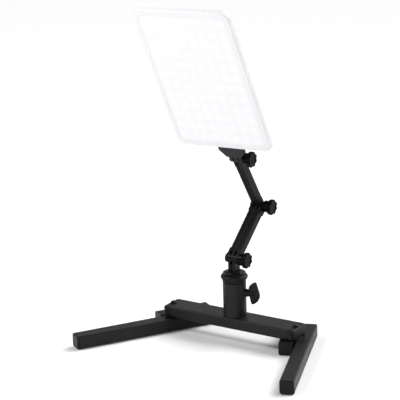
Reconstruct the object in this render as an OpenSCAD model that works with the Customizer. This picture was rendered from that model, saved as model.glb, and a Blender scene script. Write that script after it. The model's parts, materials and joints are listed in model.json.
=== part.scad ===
// Table-top LED light panel on a two-part folding arm, with a beam base and two fold-out legs.
// Millimetres, +Z up. The origin is on the table under the axis of the socket tube.
// X runs along the beam, -Y is the front, where the legs reach and the light faces.

/* [Base beam] */
// Length of the beam over both end caps
beam_l = 232; // [200:1:300]
// Width of the beam, front to back
beam_w = 40; // [34:1:60]
// Height of the beam
beam_h = 16.6; // [14:0.2:26]
// Wall of the beam's tube
beam_wall = 2; // [1.5:0.1:3]
// Radius on the beam's long edges
beam_edge_r = 2.6; // [2:0.1:4]
// How far the beam's middle lies to the left of the socket tube's axis
beam_shift = 3; // [0:0.5:10]
// Exposed length of each end cap
beam_cap_l = 12; // [11:0.5:20]
// Radius on the upright corners of the end caps
beam_cap_r = 5; // [2:0.5:6]
// Distance from a pivot bolt to the beam's end
pivot_inset = 6.35; // [6:0.05:7]

/* [Legs] */
// Width of one rail of a leg
rail_w = 21.5; // [18:0.5:30]
// Height of a rail
rail_h = 21; // [18:0.5:30]
// Gap between the long rail and the stub beside it
rail_gap = 3.9; // [3:0.1:8]
// Radius on a rail's long edges
rail_edge_r = 2.6; // [2:0.1:4]
// Wall of a leg's tube
rail_wall = 1.5; // [1:0.1:3]
// From the pivot to the front end of a leg
leg_reach = 171; // [120:1:240]
// From the pivot to the heel of the long rail
heel_l = 59; // [50:1:80]
// From the pivot to the heel of the stub
stub_heel_l = 64; // [50:1:85]
// From the pivot to the front end of the stub, where the leg's tube starts
hub_front = 22; // [20:0.5:30]
// Exposed length of the cap on a leg's front end
leg_cap_l = 4; // [3:0.5:8]
// Direction of the left leg, clockwise from +X as seen from above
left_leg_angle = 121.6; // [100:0.1:150]
// Direction of the right leg, clockwise from +X as seen from above
right_leg_angle = 68.5; // [40:0.1:80]
// Thickness of the rubber pads under the legs
pad_t = 1; // [0.8:0.1:3]
// Diameter of the rubber pads
pad_d = 13; // [8:1:16]

/* [Socket tube] */
// Outer diameter of the tube
tube_d = 35.5; // [30:0.5:45]
// Wall of the tube
tube_wall = 2; // [1.5:0.1:3]
// Length of the tube above the beam
tube_l = 53.7; // [45:0.1:90]
// Height of the clamp screw above the beam
clamp_rise = 36.6; // [25:0.1:40]
// Direction of the clamp screw, anticlockwise from +X
clamp_azimuth = 15; // [-60:1:60]
// Diameter of the clamp's boss
boss_d = 12.4; // [11:0.1:16]
// Diameter of the clamp screw
clamp_screw_d = 8; // [6:0.5:8]
// Height of the clamp knob's wing
wing_h = 35.8; // [28:1:44]

/* [Arm] */
// Height of the shoulder joint above the collar's top
shoulder_rise = 24.1; // [22:0.1:40]
// Length of the lower arm between its joints
lower_arm_l = 98.2; // [80:0.1:160]
// Length of the upper arm between its joints
upper_arm_l = 105; // [80:0.1:160]
// Angle of the lower arm, from +Y towards +Z
lower_arm_angle = 40.1; // [20:0.1:60]
// Angle of the upper arm, from +Y towards +Z
upper_arm_angle = 122.1; // [110:0.1:150]
// Radius of the joint knuckles
knuckle_r = 7.2; // [7:0.1:9]
// Thickness of one finger layer, of which a joint has five
layer_t = 4; // [4:0.1:5]
// Width of the lower arm's bar
lower_bar_w = 18.5; // [16:0.5:20]
// Depth of the lower arm's bar
lower_bar_t = 13.5; // [10:0.5:14]
// Diameter of the joint screws
joint_screw_d = 5; // [4:0.5:5]
// Largest diameter of a thumb knob
knob_d = 24; // [20:0.5:24]
// Diameter of a thumb knob's hub
knob_hub_d = 18; // [14:0.5:19]
// Number of lobes on a thumb knob
knob_lobes = 8; // [5:1:12]

/* [Light panel] */
// Width of the panel
panel_w = 166; // [150:1:240]
// Height of the panel
panel_h = 240; // [220:1:320]
// Thickness of the panel
panel_t = 11.5; // [11:0.5:16]
// Radius on the panel's corners
panel_r = 14; // [8:1:20]
// Wall of the panel's shells
shell_wall = 1.8; // [1.5:0.1:2.5]
// Width of the border around the diffuser
bezel_w = 10; // [10:0.5:14]
// Forward tilt of the panel from upright
panel_tilt = 23.8; // [0:0.1:40]
// Turn of the panel on its swivel, right side up
panel_turn = 2.7; // [-20:0.1:20]
// Distance of the panel's front face in front of the head joint
face_gap = 25.2; // [24:0.1:32]
// Distance of the panel's lower edge above the head joint
edge_gap = 37.3; // [30:0.1:60]
// Distance of the swivel screw above the panel's lower edge
swivel_up = 20; // [20:0.5:26]
// Radius of the bracket's round pad behind the swivel
pad_r = 23; // [20:0.5:26]
// Number of LED columns
led_cols = 8; // [4:1:10]
// Number of LED rows
led_rows = 12; // [6:1:14]
// Distance from one LED to the next
led_pitch = 18.2; // [8:0.1:18.2]

/* [Control housing] */
// Width of the housing on the panel's back
housing_w = 96; // [80:1:120]
// Height of the housing
housing_h = 66; // [56:1:90]
// Depth of the housing behind the panel
housing_t = 13; // [12:0.5:20]
// Distance of the housing's middle above the panel's middle
housing_up = 22; // [10:1:30]
// Diameter of the dimmer knob
dimmer_d = 17; // [12:0.5:20]

/* [Hidden] */
$fn = 64;
EPS = 0.01;
FIT = 0.08;
SEAT = 0.05;
CLEAR = 0.3;

// Heights of the stack from the table up
leg_top = pad_t + rail_h;
washer_t = 0.5;
beam_bottom = leg_top + washer_t;
beam_top = beam_bottom + beam_h;
tube_top = beam_top + tube_l;
collar_top = tube_top + 12.2;
shoulder_z = collar_top + shoulder_rise;

// Pivots, tube and post
pivot_reach = beam_l / 2 - pivot_inset;
left_pivot_x = -beam_shift - pivot_reach;
right_pivot_x = pivot_reach - beam_shift;
pivot_screw_r = 3;
pivot_nut_t = 5;
rail_side = (rail_w + rail_gap) / 2;
plug_l = 22;
pad_places = [[14 - heel_l, rail_side], [14 - stub_heel_l, -rail_side], [leg_reach - 20, rail_side]];
tube_r = tube_d / 2;
tube_in_r = tube_r - tube_wall;
sleeve_t = 1.75;
post_r = tube_in_r - SEAT - sleeve_t - FIT;
clamp_z = beam_top + clamp_rise;
boss_l = 2.4;
knob_start = tube_r + boss_l + CLEAR;
knob_hub_t = 2.2;
wing_mid = knob_start + 10.4;
clamp_len = 17;

// Arm joints
lower_dir = [0, cos(lower_arm_angle), sin(lower_arm_angle)];
upper_dir = [0, cos(upper_arm_angle), sin(upper_arm_angle)];
shoulder = [0, 0, shoulder_z];
elbow = shoulder + lower_arm_l * lower_dir;
head = elbow + upper_arm_l * upper_dir;
side_gap = 0.1;
half_w = 2.5 * layer_t;
inner_half = 1.5 * layer_t;
relief = knuckle_r + 0.8;
finger_reach = relief + 6;
screw_r = joint_screw_d / 2;
nut_af = 1.6 * joint_screw_d;
nut_t = 0.8 * joint_screw_d;
nut_boss = 2;
joint_washer_t = 1;
knob_hub_l = 9;
knob_rim_l = 6;
// Layers that hold a finger: the outer kind has three, the inner kind two
OUTER = [-2, 0, 2];
INNER = [-1, 1];

// Panel depths behind its front face, and heights from its swivel axis
front_t = 5;
edge_ease = 2.5;
diffuser_in = 0.5;
diffuser_t = 3;
board_t = 1.6;
led_size = 5;
led_t = 0.9;
board_y = 6;
board_back = board_y + board_t;
board_margin = 6;
board_w = (led_cols - 1) * led_pitch + led_size + 2 * board_margin;
board_h = (led_rows - 1) * led_pitch + led_size + 2 * board_margin;
shell_back = panel_t - shell_wall;
panel_mid = panel_h / 2 - swivel_up;
window_w = panel_w - 2 * bezel_w;
window_h = panel_h - 2 * bezel_w;
window_r = 7;
lip = 2;
swivel_boss_t = 3;
plate_t = 3;
swivel_screw_r = 3;
plate_front = face_gap - panel_t - swivel_boss_t - SEAT;
plate_back = panel_t + swivel_boss_t + SEAT + plate_t;
shell_screw_r = 1;
shell_post_r = 2.4;
screw_x = window_w / 2 + lip + CLEAR + shell_post_r;
screw_z = [for (i = [-1, 0, 1]) panel_mid + i * (panel_h / 2 - 16)];

// Housing on the back of the panel
housing_mid = panel_mid + housing_up;
housing_back = panel_t + housing_t;
dimmer_x = housing_w / 4;
switch_x = -housing_w / 4;
switch_w = 20;
switch_h = 13;
rocker_rest = 8;
driver_w = housing_w - 20;
driver_h = housing_h - 26;
driver_y = panel_t + 3;
driver_z = housing_mid + 7;
dimmer_shaft_r = 3;
control_z = housing_mid - housing_h / 4;
control_body_t = 6;
jack_w = 9;
jack_y = panel_t + 1.2;
jack_h = 9.4;
jack_l = 13;
jack_bore_r = 3.1;

// ---------- shared shapes ----------

module rounded_rect(w, h, r) {
  square([w - 2 * r, h], center = true);
  square([w, h - 2 * r], center = true);
  for (x = [-1, 1], y = [-1, 1])
    translate([x * (w / 2 - r), y * (h / 2 - r)]) circle(r);
}

// A bar along +X that starts at x = 0, with its section in Y and Z
module bar_x(len, w, h, r) {
  rotate([90, 0, 90]) linear_extrude(len) rounded_rect(w, h, r);
}

// A plate in X and Z that is t thick, from y on towards +Y
module plate(w, h, r, y, t) {
  translate([0, y + t, 0]) rotate([90, 0, 0]) linear_extrude(t) rounded_rect(w, h, r);
}

// A round bar along X from x0 to x1
module rod_x(x0, x1, r) {
  translate([x0, 0, 0]) rotate([0, 90, 0]) cylinder(r = r, h = x1 - x0);
}

// A round bar along Y from y0 to y1
module rod_y(y0, y1, r) {
  translate([0, y1, 0]) rotate([90, 0, 0]) cylinder(r = r, h = y1 - y0);
}

module hex_prism(af, h) {
  cylinder(r = af / 2 / cos(30), h = h, $fn = 6);
}

module ring(r_out, r_in, h) {
  difference() {
    cylinder(r = r_out, h = h);
    translate([0, 0, -1]) cylinder(r = r_in, h = h + 2);
  }
}

// ---------- frames: each places its children in the frame of one sub-assembly ----------

module left_leg() {
  translate([left_pivot_x, 0, 0]) rotate([0, 0, -left_leg_angle]) children();
}

module right_leg() {
  translate([right_pivot_x, 0, 0]) rotate([0, 0, -right_leg_angle]) children();
}

module clamp_frame() {
  rotate([0, 0, clamp_azimuth]) translate([0, 0, clamp_z]) children();
}

module lower_frame() {
  translate(shoulder) rotate([lower_arm_angle, 0, 0]) children();
}

module upper_frame() {
  translate(elbow) rotate([upper_arm_angle, 0, 0]) children();
}

module head_frame() {
  translate(head) rotate([panel_tilt, 0, 0]) children();
}

// Origin on the swivel axis in the plane of the panel's front face, +Y to the back
module panel_frame() {
  head_frame() translate([0, -face_gap, edge_gap + swivel_up])
    rotate([0, -panel_turn, 0]) children();
}

// ---------- base ----------

module base_beam() {
  l = beam_l - 2 * beam_cap_l;
  color("#1c1d1d") difference() {
    translate([-beam_shift - l / 2, 0, beam_bottom + beam_h / 2])
      bar_x(l, beam_w, beam_h, beam_edge_r);
    translate([-beam_shift - l / 2 - 1, 0, beam_bottom + beam_h / 2])
      bar_x(l + 2, beam_w - 2 * beam_wall, beam_h - 2 * beam_wall, 1);
    translate([0, 0, beam_top - beam_h / 2]) cylinder(r = 3.2, h = beam_h);
    translate([0, 0, beam_bottom - 1]) cylinder(r = 7, h = beam_h / 2);
  }
}

// End cap with its plug inside the beam, drawn for the +X end
module beam_cap() {
  inner = beam_l / 2 - beam_cap_l;
  color("#141414") difference() {
    union() {
      intersection() {
        translate([inner, 0, beam_bottom + beam_h / 2])
          bar_x(beam_cap_l, beam_w, beam_h, beam_edge_r);
        translate([beam_l / 2 - 2 * beam_cap_l, 0, beam_bottom])
          linear_extrude(beam_h) rounded_rect(4 * beam_cap_l, beam_w, beam_cap_r);
      }
      translate([inner - 14, 0, beam_bottom + beam_h / 2])
        bar_x(14 + EPS, beam_w - 2 * beam_wall - 2 * SEAT, beam_h - 2 * beam_wall - 2 * SEAT, 1);
    }
    translate([inner - 15, 0, beam_bottom + beam_h / 2])
      bar_x(13, beam_w - 2 * beam_wall - 5, beam_h - 2 * beam_wall - 5, 1);
    translate([pivot_reach, 0, beam_bottom - 1])
      cylinder(r = pivot_screw_r + FIT, h = beam_h + 2);
  }
}

module beam_cap_right() {
  translate([-beam_shift, 0, 0]) beam_cap();
}

module beam_cap_left() {
  translate([-beam_shift, 0, 0]) mirror([1, 0, 0]) beam_cap();
}

module pivot_washers() {
  color("#2b2b2b") for (x = [left_pivot_x, right_pivot_x])
    translate([x, 0, leg_top]) ring(9, pivot_screw_r + FIT, washer_t);
}

// ---------- legs: +X forward, the long rail on +Y, the stub on -Y ----------

module rail_section(inset = 0) {
  rounded_rect(rail_w - 2 * inset, rail_h - 2 * inset, max(rail_edge_r - inset, 0.5));
}

// A rail from x0 to x1 on one side of the pivot
module rail(side, x0, x1, inset = 0) {
  translate([x0, side * rail_side, pad_t + rail_h / 2])
    rotate([90, 0, 90]) linear_extrude(x1 - x0) rail_section(inset);
}

module leg_hub() {
  skin = 2.4;
  solid = 10;
  slot = 12;
  pad_seats = [for (p = pad_places) if (p[0] < 0) p];
  web_w = rail_gap + 2 * rail_edge_r;
  color("#161616") difference() {
    union() {
      rail(1, -heel_l, hub_front);
      rail(-1, -stub_heel_l, hub_front);
      rail(1, hub_front - EPS, hub_front + plug_l, rail_wall + SEAT);
      translate([slot - heel_l, -web_w / 2, pad_t])
        cube([heel_l + hub_front - 2 * slot, web_w, rail_h]);
    }
    for (side = [-1, 1], part = [[-heel_l + skin, -solid], [solid, hub_front - skin]])
      translate([part[0], side * rail_side - rail_w / 2 + skin, -1])
        cube([part[1] - part[0], rail_w - 2 * skin, pad_t + rail_h - skin]);
    translate([0, 0, -1]) cylinder(r = pivot_screw_r + FIT, h = leg_top + 2);
    translate([0, 0, -1]) hex_prism(2 * pivot_nut_t + 0.3, pad_t + pivot_nut_t + 3);
  }
  color("#161616") for (p = pad_seats)
    translate([p[0], p[1], pad_t]) cylinder(d = pad_d, h = rail_h - 1);
}

module leg_tube() {
  color("#1f2020") difference() {
    rail(1, hub_front + SEAT, leg_reach - leg_cap_l);
    rail(1, hub_front - 1, leg_reach, rail_wall);
  }
}

// Front cap: a flange with rounded corners and a hollow plug
module leg_cap() {
  start = leg_reach - leg_cap_l;
  color("#141414") difference() {
    union() {
      intersection() {
        rail(1, start + SEAT, leg_reach);
        translate([leg_reach - rail_w, rail_side, pad_t])
          linear_extrude(rail_h) rounded_rect(2 * rail_w, rail_w, 3);
      }
      rail(1, start - 12, start + 1, rail_wall + SEAT);
    }
    rail(1, start - 13, start, rail_wall + 2);
  }
}

module leg_pads() {
  color("#0e0e0e") for (p = pad_places) translate(p) cylinder(d = pad_d, h = pad_t);
}

// Dome-headed bolt down through the end cap and the hub
module pivot_bolt() {
  head_r = 4.6;
  head_h = 3.4;
  color("#101010") {
    translate([0, 0, beam_top]) intersection() {
      cylinder(r = head_r, h = head_h);
      translate([0, 0, head_h - 6.2]) sphere(r = 6.2);
    }
    translate([0, 0, pad_t + 2]) cylinder(r = pivot_screw_r, h = beam_top - pad_t - 2 + EPS);
  }
}

module pivot_nut() {
  color("#8a8c8e") translate([0, 0, pad_t + 2]) difference() {
    hex_prism(2 * pivot_nut_t, pivot_nut_t);
    translate([0, 0, -1]) cylinder(r = pivot_screw_r + 0.02, h = pivot_nut_t + 2);
  }
}

// ---------- socket tube, collar and clamp ----------

module socket_tube() {
  color("#232424") difference() {
    translate([0, 0, beam_top]) ring(tube_r, tube_in_r, tube_l);
    clamp_frame() rod_x(0, tube_d, boss_d / 2 + SEAT);
  }
}

// Disc pressed into the foot of the tube, tapped for the bolt from beneath
module tube_plug() {
  color("#5f6163") translate([0, 0, beam_top]) ring(tube_in_r - SEAT, 3.02, 12);
}

module tube_washer() {
  color("#8a8c8e") translate([0, 0, beam_top - beam_wall - 1.6]) ring(9, 3.2, 1.6);
}

module tube_bolt() {
  top = beam_top - beam_wall - 1.6;
  color("#6a6c6e") {
    translate([0, 0, top - 5]) difference() {
      cylinder(r = 5, h = 5);
      translate([0, 0, -1]) hex_prism(5, 4);
    }
    translate([0, 0, top - EPS]) cylinder(r = 3, h = 13);
  }
}

// Sleeve inside the tube, with a skirt, a rolled ring and a flat top
module tube_collar() {
  bore = post_r + FIT;
  sleeve_bottom = tube_top - 34;
  ring_r = 20.6;
  round_r = 4.2;
  skirt = tube_r + 0.25;
  color("#1b1b1b") difference() {
    rotate_extrude() difference() {
      union() {
        translate([bore, sleeve_bottom])
          square([tube_in_r - SEAT - bore, tube_top - sleeve_bottom + 1]);
        translate([bore, tube_top + SEAT]) square([skirt - 0.9 - bore, 1.2]);
        translate([bore, tube_top + 1]) square([skirt - bore, 4]);
        translate([bore, tube_top + 4.2]) square([ring_r - round_r - bore, collar_top - tube_top - 4.2]);
        translate([ring_r - round_r, tube_top + 8]) circle(round_r);
      }
      translate([0, collar_top]) square([2 * tube_d, 10]);
      translate([0, sleeve_bottom - 1]) square([bore, 2 * tube_l]);
    }
    clamp_frame() rod_x(0, tube_d, clamp_screw_d / 2 + CLEAR);
  }
}

module clamp_boss() {
  color("#1b1b1b") clamp_frame() difference() {
    rod_x(tube_in_r + 0.2, tube_r + boss_l, boss_d / 2);
    rod_x(0, tube_d, clamp_screw_d / 2 + FIT);
  }
}

module clamp_screw() {
  color("#77797b") clamp_frame() rod_x(post_r + CLEAR, post_r + CLEAR + clamp_len, clamp_screw_d / 2);
}

// Wing seen from the side, around its own middle: two blades that lean opposite ways
module wing_outline() {
  half = wing_h / 2;
  polygon([
    [2.4, half], [-1.5, half * 0.93], [-7.2, half * 0.68], [-8.9, half * 0.35],
    [-9.1, half * 0.1], [-7.4, -half * 0.3], [-5.9, -half * 0.64], [-4.6, -half * 0.93],
    [-2.6, -half], [1.5, -half * 0.9], [5.6, -half * 0.7], [8.4, -half * 0.42],
    [9.1, -half * 0.17], [8, half * 0.15], [6.1, half * 0.46], [4, half * 0.88]
  ]);
}

module clamp_knob() {
  color("#121212") clamp_frame() difference() {
    union() {
      rod_x(knob_start, knob_start + knob_hub_t, 5.8);
      rod_x(knob_start + knob_hub_t - EPS, wing_mid + 2, 5.2);
      translate([wing_mid, 3.4, 0]) rotate([90, 0, 0]) linear_extrude(6.8) wing_outline();
    }
    rod_x(0, post_r + CLEAR + clamp_len + 0.4, clamp_screw_d / 2 + 0.02);
  }
}

// ---------- arm ----------

// Fingers of one joint around the X axis, reaching back along +Y
module fingers(layers, reach) {
  edge = layer_t / 2 - side_gap;
  for (i = layers) {
    x0 = i * layer_t - (i == -2 ? layer_t / 2 : edge);
    x1 = i * layer_t + (i == 2 ? layer_t / 2 : edge);
    rod_x(x0, x1, knuckle_r);
    translate([x0, 0, -knuckle_r]) cube([x1 - x0, reach, 2 * knuckle_r]);
  }
}

// Boss on the left of an outer joint, around its captive nut
module nut_seat() {
  rod_x(-half_w - nut_boss, -half_w + EPS, knuckle_r - 0.4);
}

// What is drilled through every joint: the bore, and the nut's pocket where there is a boss
module joint_bore(nut = false) {
  rod_x(-half_w - 10, half_w + 10, screw_r + FIT);
  if (nut) translate([-half_w - nut_boss - 1, 0, 0]) rotate([0, 90, 0])
    hex_prism(nut_af + 0.2, nut_t + 1);
}

module joint_nut() {
  color("#8a8c8e") translate([-half_w - nut_boss, 0, 0]) rotate([0, 90, 0]) difference() {
    hex_prism(nut_af, nut_t);
    translate([0, 0, -1]) cylinder(r = screw_r + 0.02, h = nut_t + 2);
  }
}

module joint_washer() {
  color("#2b2b2b") translate([half_w, 0, 0]) rotate([0, 90, 0])
    ring(6.6, screw_r + FIT, joint_washer_t);
}

module joint_screw() {
  color("#77797b") rod_x(-half_w - nut_boss + 0.5, half_w + joint_washer_t + 10, screw_r);
}

// Knob with a plain hub and a lobed rim at its outer end
module thumb_knob() {
  start = half_w + joint_washer_t;
  rim_start = start + knob_hub_l;
  scallop_r = 0.2 * knob_d;
  color("#131313") difference() {
    union() {
      rod_x(start, rim_start + EPS, knob_hub_d / 2);
      rod_x(rim_start, rim_start + knob_rim_l, knob_d / 2);
    }
    for (i = [0 : knob_lobes - 1]) rotate([(i + 0.5) * 360 / knob_lobes, 0, 0])
      translate([0, knob_d / 2 + scallop_r * 0.72, 0])
        rod_x(rim_start + 0.8, rim_start + knob_rim_l + 1, scallop_r);
    rod_x(start - 1, start + 10.5, screw_r + 0.02);
    rod_x(rim_start + knob_rim_l - 0.8, rim_start + knob_rim_l + 1, knob_d * 0.27);
  }
}

// Groove along the bar on both of its wide faces
module grooves(places, len, depth_z, w) {
  for (x = places, side = [-1, 1])
    translate([x - w / 2, relief, side * depth_z - 0.9]) cube([w, len - 2 * relief, 1.8]);
}

module arm_bar(len, w, t) {
  translate([0, relief, 0]) rotate([0, 0, 90]) bar_x(len - 2 * relief, w, t, 1.4);
}

// Revolved stem and dome with a two-finger fork on top
module swivel_post() {
  dome_r = 17;
  dome_top_r = 10;
  dome_h = 4.6;
  stem_bottom = tube_top - 32;
  neck_top = shoulder_rise - relief;
  color("#1b1b1b") difference() {
    union() {
      translate([0, 0, stem_bottom]) cylinder(r = post_r, h = collar_top - stem_bottom + 1);
      translate([0, 0, collar_top]) rotate_extrude() {
        square([dome_r - 1.4, 1]);
        translate([0, 0.9]) square([dome_r, 1.6]);
        intersection() {
          translate([dome_top_r - 0.5, 0]) circle(dome_h + 0.6);
          translate([0, 2.4]) square([dome_r, dome_h - 2.4]);
        }
        translate([0, 2.4]) square([dome_top_r - 0.4, dome_h - 2.4]);
      }
      translate([-inner_half, -knuckle_r, collar_top + 2]) cube([2 * inner_half, 2 * knuckle_r, neck_top - 2]);
      translate(shoulder) rotate([-90, 0, 0]) fingers(INNER, relief + 1);
    }
    translate([0, 0, stem_bottom - 1]) cylinder(r = post_r - 4, h = collar_top - stem_bottom - 4);
    translate(shoulder) joint_bore();
    for (side = [-1, 1]) translate([-1.2, side * knuckle_r - 0.9, collar_top + dome_h])
      cube([2.4, 1.8, shoulder_rise - dome_h]);
  }
}

module lower_arm() {
  color("#171717") lower_frame() difference() {
    union() {
      fingers(OUTER, finger_reach);
      nut_seat();
      translate([0, lower_arm_l, 0]) {
        mirror([0, 1, 0]) fingers(OUTER, finger_reach);
        nut_seat();
      }
      arm_bar(lower_arm_l, lower_bar_w, lower_bar_t);
    }
    joint_bore(true);
    translate([0, lower_arm_l, 0]) joint_bore(true);
    grooves([-layer_t, layer_t], lower_arm_l, lower_bar_t / 2, 1.8);
  }
}

module upper_arm() {
  color("#171717") upper_frame() difference() {
    union() {
      fingers(INNER, finger_reach);
      translate([0, upper_arm_l, 0]) mirror([0, 1, 0]) fingers(INNER, finger_reach);
      arm_bar(upper_arm_l, 2 * inner_half, 2 * knuckle_r);
    }
    joint_bore();
    translate([0, upper_arm_l, 0]) joint_bore();
    grooves([0], upper_arm_l, knuckle_r, 2.4);
  }
}

// Three-finger fork that spreads into a fan plate with a round pad behind the panel
module head_bracket() {
  pad_z = edge_gap + swivel_up;
  neck_z = 18;
  color("#2a2b2b") head_frame() difference() {
    union() {
      rotate([90, 0, 0]) fingers(OUTER, finger_reach);
      nut_seat();
      translate([-half_w, -plate_front, relief]) cube([2 * half_w, plate_front + knuckle_r, neck_z - relief]);
      translate([0, -plate_front + plate_t, 0]) rotate([90, 0, 0]) linear_extrude(plate_t) {
        polygon([
          [-half_w - 2, relief], [half_w + 2, relief],
          [pad_r, neck_z + 2], [pad_r, pad_z], [-pad_r, pad_z], [-pad_r, neck_z + 2]
        ]);
        translate([0, pad_z]) circle(pad_r);
      }
    }
    joint_bore(true);
    translate([0, 0, pad_z]) rod_y(-plate_front - 1, plate_t, swivel_screw_r + FIT);
  }
}

// ---------- light panel ----------

// One slice of an eased edge: the outline drawn in by so much
module slice(inset, y, t) {
  plate(panel_w - 2 * inset, panel_h - 2 * inset, panel_r - inset, y, t, $fn = 40);
}

// Outer skin from y0 to y1 whose edges are eased at one end: at y0 when front is true, else at y1
module eased_slab(y0, y1, ease, front) {
  thin = 0.05;
  hull() {
    slice(ease, front ? y0 : y1 - thin, thin);
    slice(0.3 * ease, front ? y0 + 0.3 * ease : y1 - 0.3 * ease - thin, thin);
    slice(0, front ? y0 + ease : y0, y1 - y0 - ease);
  }
}

module at_shell_screws() {
  for (x = [-screw_x, screw_x], z = screw_z) translate([x, 0, z]) children();
}

module front_frame() {
  inner_w = panel_w - 2 * shell_wall;
  inner_h = panel_h - 2 * shell_wall;
  color("white") panel_frame() difference() {
    union() {
      difference() {
        translate([0, 0, panel_mid]) eased_slab(0, front_t, edge_ease, true);
        translate([0, 0, panel_mid]) plate(inner_w, inner_h, panel_r - shell_wall, 2, front_t);
      }
      at_shell_screws() rod_y(1.5, front_t, shell_post_r);
    }
    translate([0, 0, panel_mid]) plate(window_w, window_h, window_r, -1, front_t);
    at_shell_screws() rod_y(2.2, front_t + 1, shell_screw_r - 0.1);
  }
}

// Opal plate that fills the window, with a lip behind the border
module diffuser() {
  play = 0.2;
  flange_w = window_w + 2 * lip;
  flange_h = window_h + 2 * lip;
  color("white") panel_frame() translate([0, 0, panel_mid]) {
    plate(window_w - 2 * play, window_h - 2 * play, window_r - play, diffuser_in, 2);
    plate(flange_w, flange_h, window_r, 2 + SEAT, diffuser_t - 2 + diffuser_in);
  }
}

module led_board() {
  color("#e8e8e4") panel_frame() translate([0, 0, panel_mid]) difference() {
    plate(board_w, board_h, 3, board_y, board_t);
    for (x = [-1, 1], z = [-1, 0, 1])
      translate([x * (board_w / 2 - 4), 0, z * (board_h / 2 - 4)]) rod_y(board_y - 1, board_back + 1, 1.4);
  }
}

module led_array() {
  color("#fff4c8") panel_frame() translate([0, 0, panel_mid])
    for (i = [0 : led_cols - 1], j = [0 : led_rows - 1])
      translate([
        (i - (led_cols - 1) / 2) * led_pitch - led_size / 2,
        board_y - led_t,
        (j - (led_rows - 1) / 2) * led_pitch - led_size / 2
      ]) cube([led_size, led_t, led_size]);
}

module rear_shell() {
  boss_r = pad_r - 1;
  color("white") panel_frame() difference() {
    union() {
      difference() {
        translate([0, 0, panel_mid]) eased_slab(front_t + SEAT, panel_t, edge_ease, false);
        translate([0, 0, panel_mid])
          plate(panel_w - 2 * shell_wall, panel_h - 2 * shell_wall, panel_r - shell_wall, 0, shell_back);
      }
      rod_y(shell_back, panel_t + swivel_boss_t, boss_r);
      at_shell_screws() rod_y(front_t + SEAT, panel_t - 1, shell_post_r);
      for (x = [-1, 1], z = [-1, 0, 1])
        translate([x * (board_w / 2 - 4), 0, panel_mid + z * (board_h / 2 - 4)])
          rod_y(board_back + SEAT, shell_back + EPS, 3);
    }
    rod_y(shell_back - 1, shell_back + swivel_boss_t, boss_r - 2);
    rod_y(0, panel_t + swivel_boss_t + 1, swivel_screw_r + SEAT);
    at_shell_screws() {
      rod_y(0, panel_t + 1, shell_screw_r + 0.1);
      rod_y(panel_t - 1.4, panel_t + 1, shell_post_r - 0.2);
    }
    translate([0, 0, driver_z]) rod_y(0, panel_t + 1, 4);
  }
}

module shell_screws() {
  color("#9a9c9e") panel_frame() at_shell_screws() {
    rod_y(3, panel_t - 1.3, shell_screw_r - 0.15);
    difference() {
      rod_y(panel_t - 1.4, panel_t - 0.2, shell_post_r - 0.4);
      translate([-0.3, panel_t - 0.8, -1.4]) cube([0.6, 1, 2.8]);
      translate([-1.4, panel_t - 0.8, -0.3]) cube([2.8, 1, 0.6]);
    }
  }
}

// Swivel bolt: its head inside the shell's boss, its shank out through the bracket's pad
module panel_bolt() {
  seat = shell_back + swivel_boss_t - 0.6;
  color("#6a6c6e") panel_frame() {
    rod_y(seat - 2.6, seat, 5);
    rod_y(seat - EPS, plate_back + 7.4, swivel_screw_r);
  }
}

module panel_bolt_washers() {
  color("#8a8c8e") panel_frame() for (y = [[shell_back + swivel_boss_t - 0.6, 0.6], [plate_back, 1.2]])
    difference() {
      rod_y(y[0], y[0] + y[1], 8);
      rod_y(0, 2 * panel_t + 10, swivel_screw_r + SEAT);
    }
}

module panel_bolt_nut() {
  color("#8a8c8e") panel_frame() difference() {
    translate([0, plate_back + 1.2, 0]) rotate([-90, 0, 0]) hex_prism(10, 5);
    rod_y(0, 2 * panel_t + 20, swivel_screw_r + 0.02);
  }
}

// ---------- control housing on the panel's back ----------

module in_housing() {
  panel_frame() translate([0, 0, housing_mid]) children();
}

module control_housing() {
  wall = 1.8;
  corner = 6;
  color("white") in_housing() difference() {
    plate(housing_w, housing_h, corner, panel_t, housing_t);
    plate(housing_w - 2 * wall, housing_h - 2 * wall, corner - wall, panel_t - 1, housing_t - wall + 1);
    translate([dimmer_x, 0, -housing_h / 4]) rod_y(panel_t, housing_back + 1, dimmer_shaft_r + CLEAR);
    translate([switch_x - switch_w / 2, housing_back - 5, -housing_h / 4 - switch_h / 2])
      cube([switch_w, 10, switch_h]);
    translate([-jack_w / 2, jack_y - SEAT, -housing_h / 2 - 1])
      cube([jack_w, jack_h + 2 * SEAT, 5]);
  }
}

module driver_board() {
  color("#2f6b45") panel_frame() translate([0, 0, driver_z]) {
    plate(driver_w, driver_h, 1.5, driver_y, 1.6);
    for (x = [-driver_w / 2 + 5, driver_w / 2 - 5], z = [-driver_h / 2 + 5, driver_h / 2 - 5])
      translate([x, 0, z]) rod_y(panel_t, driver_y + EPS, 2.5);
  }
  color("#3a3a3a") panel_frame() translate([0, 0, driver_z]) {
    translate([-22, 0, 0]) plate(14, 14, 1, driver_y + 1.6 - EPS, 5);
    translate([4, 0, 3]) plate(10, 8, 0.6, driver_y + 1.6 - EPS, 2);
    translate([24, 0, -4]) rod_y(driver_y + 1.6 - EPS, driver_y + 7, 4);
  }
}

// Potentiometer: a can behind the housing's wall, and the threaded bush that holds it
module dimmer_pot() {
  wall_in = housing_back - 1.8;
  color("#7c7e80") panel_frame() translate([dimmer_x, 0, control_z]) {
    rod_y(wall_in - control_body_t, wall_in, 7);
    difference() {
      rod_y(wall_in - EPS, housing_back, dimmer_shaft_r + CLEAR - SEAT);
      rod_y(wall_in, housing_back + 1, 2.08);
    }
  }
}

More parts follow.
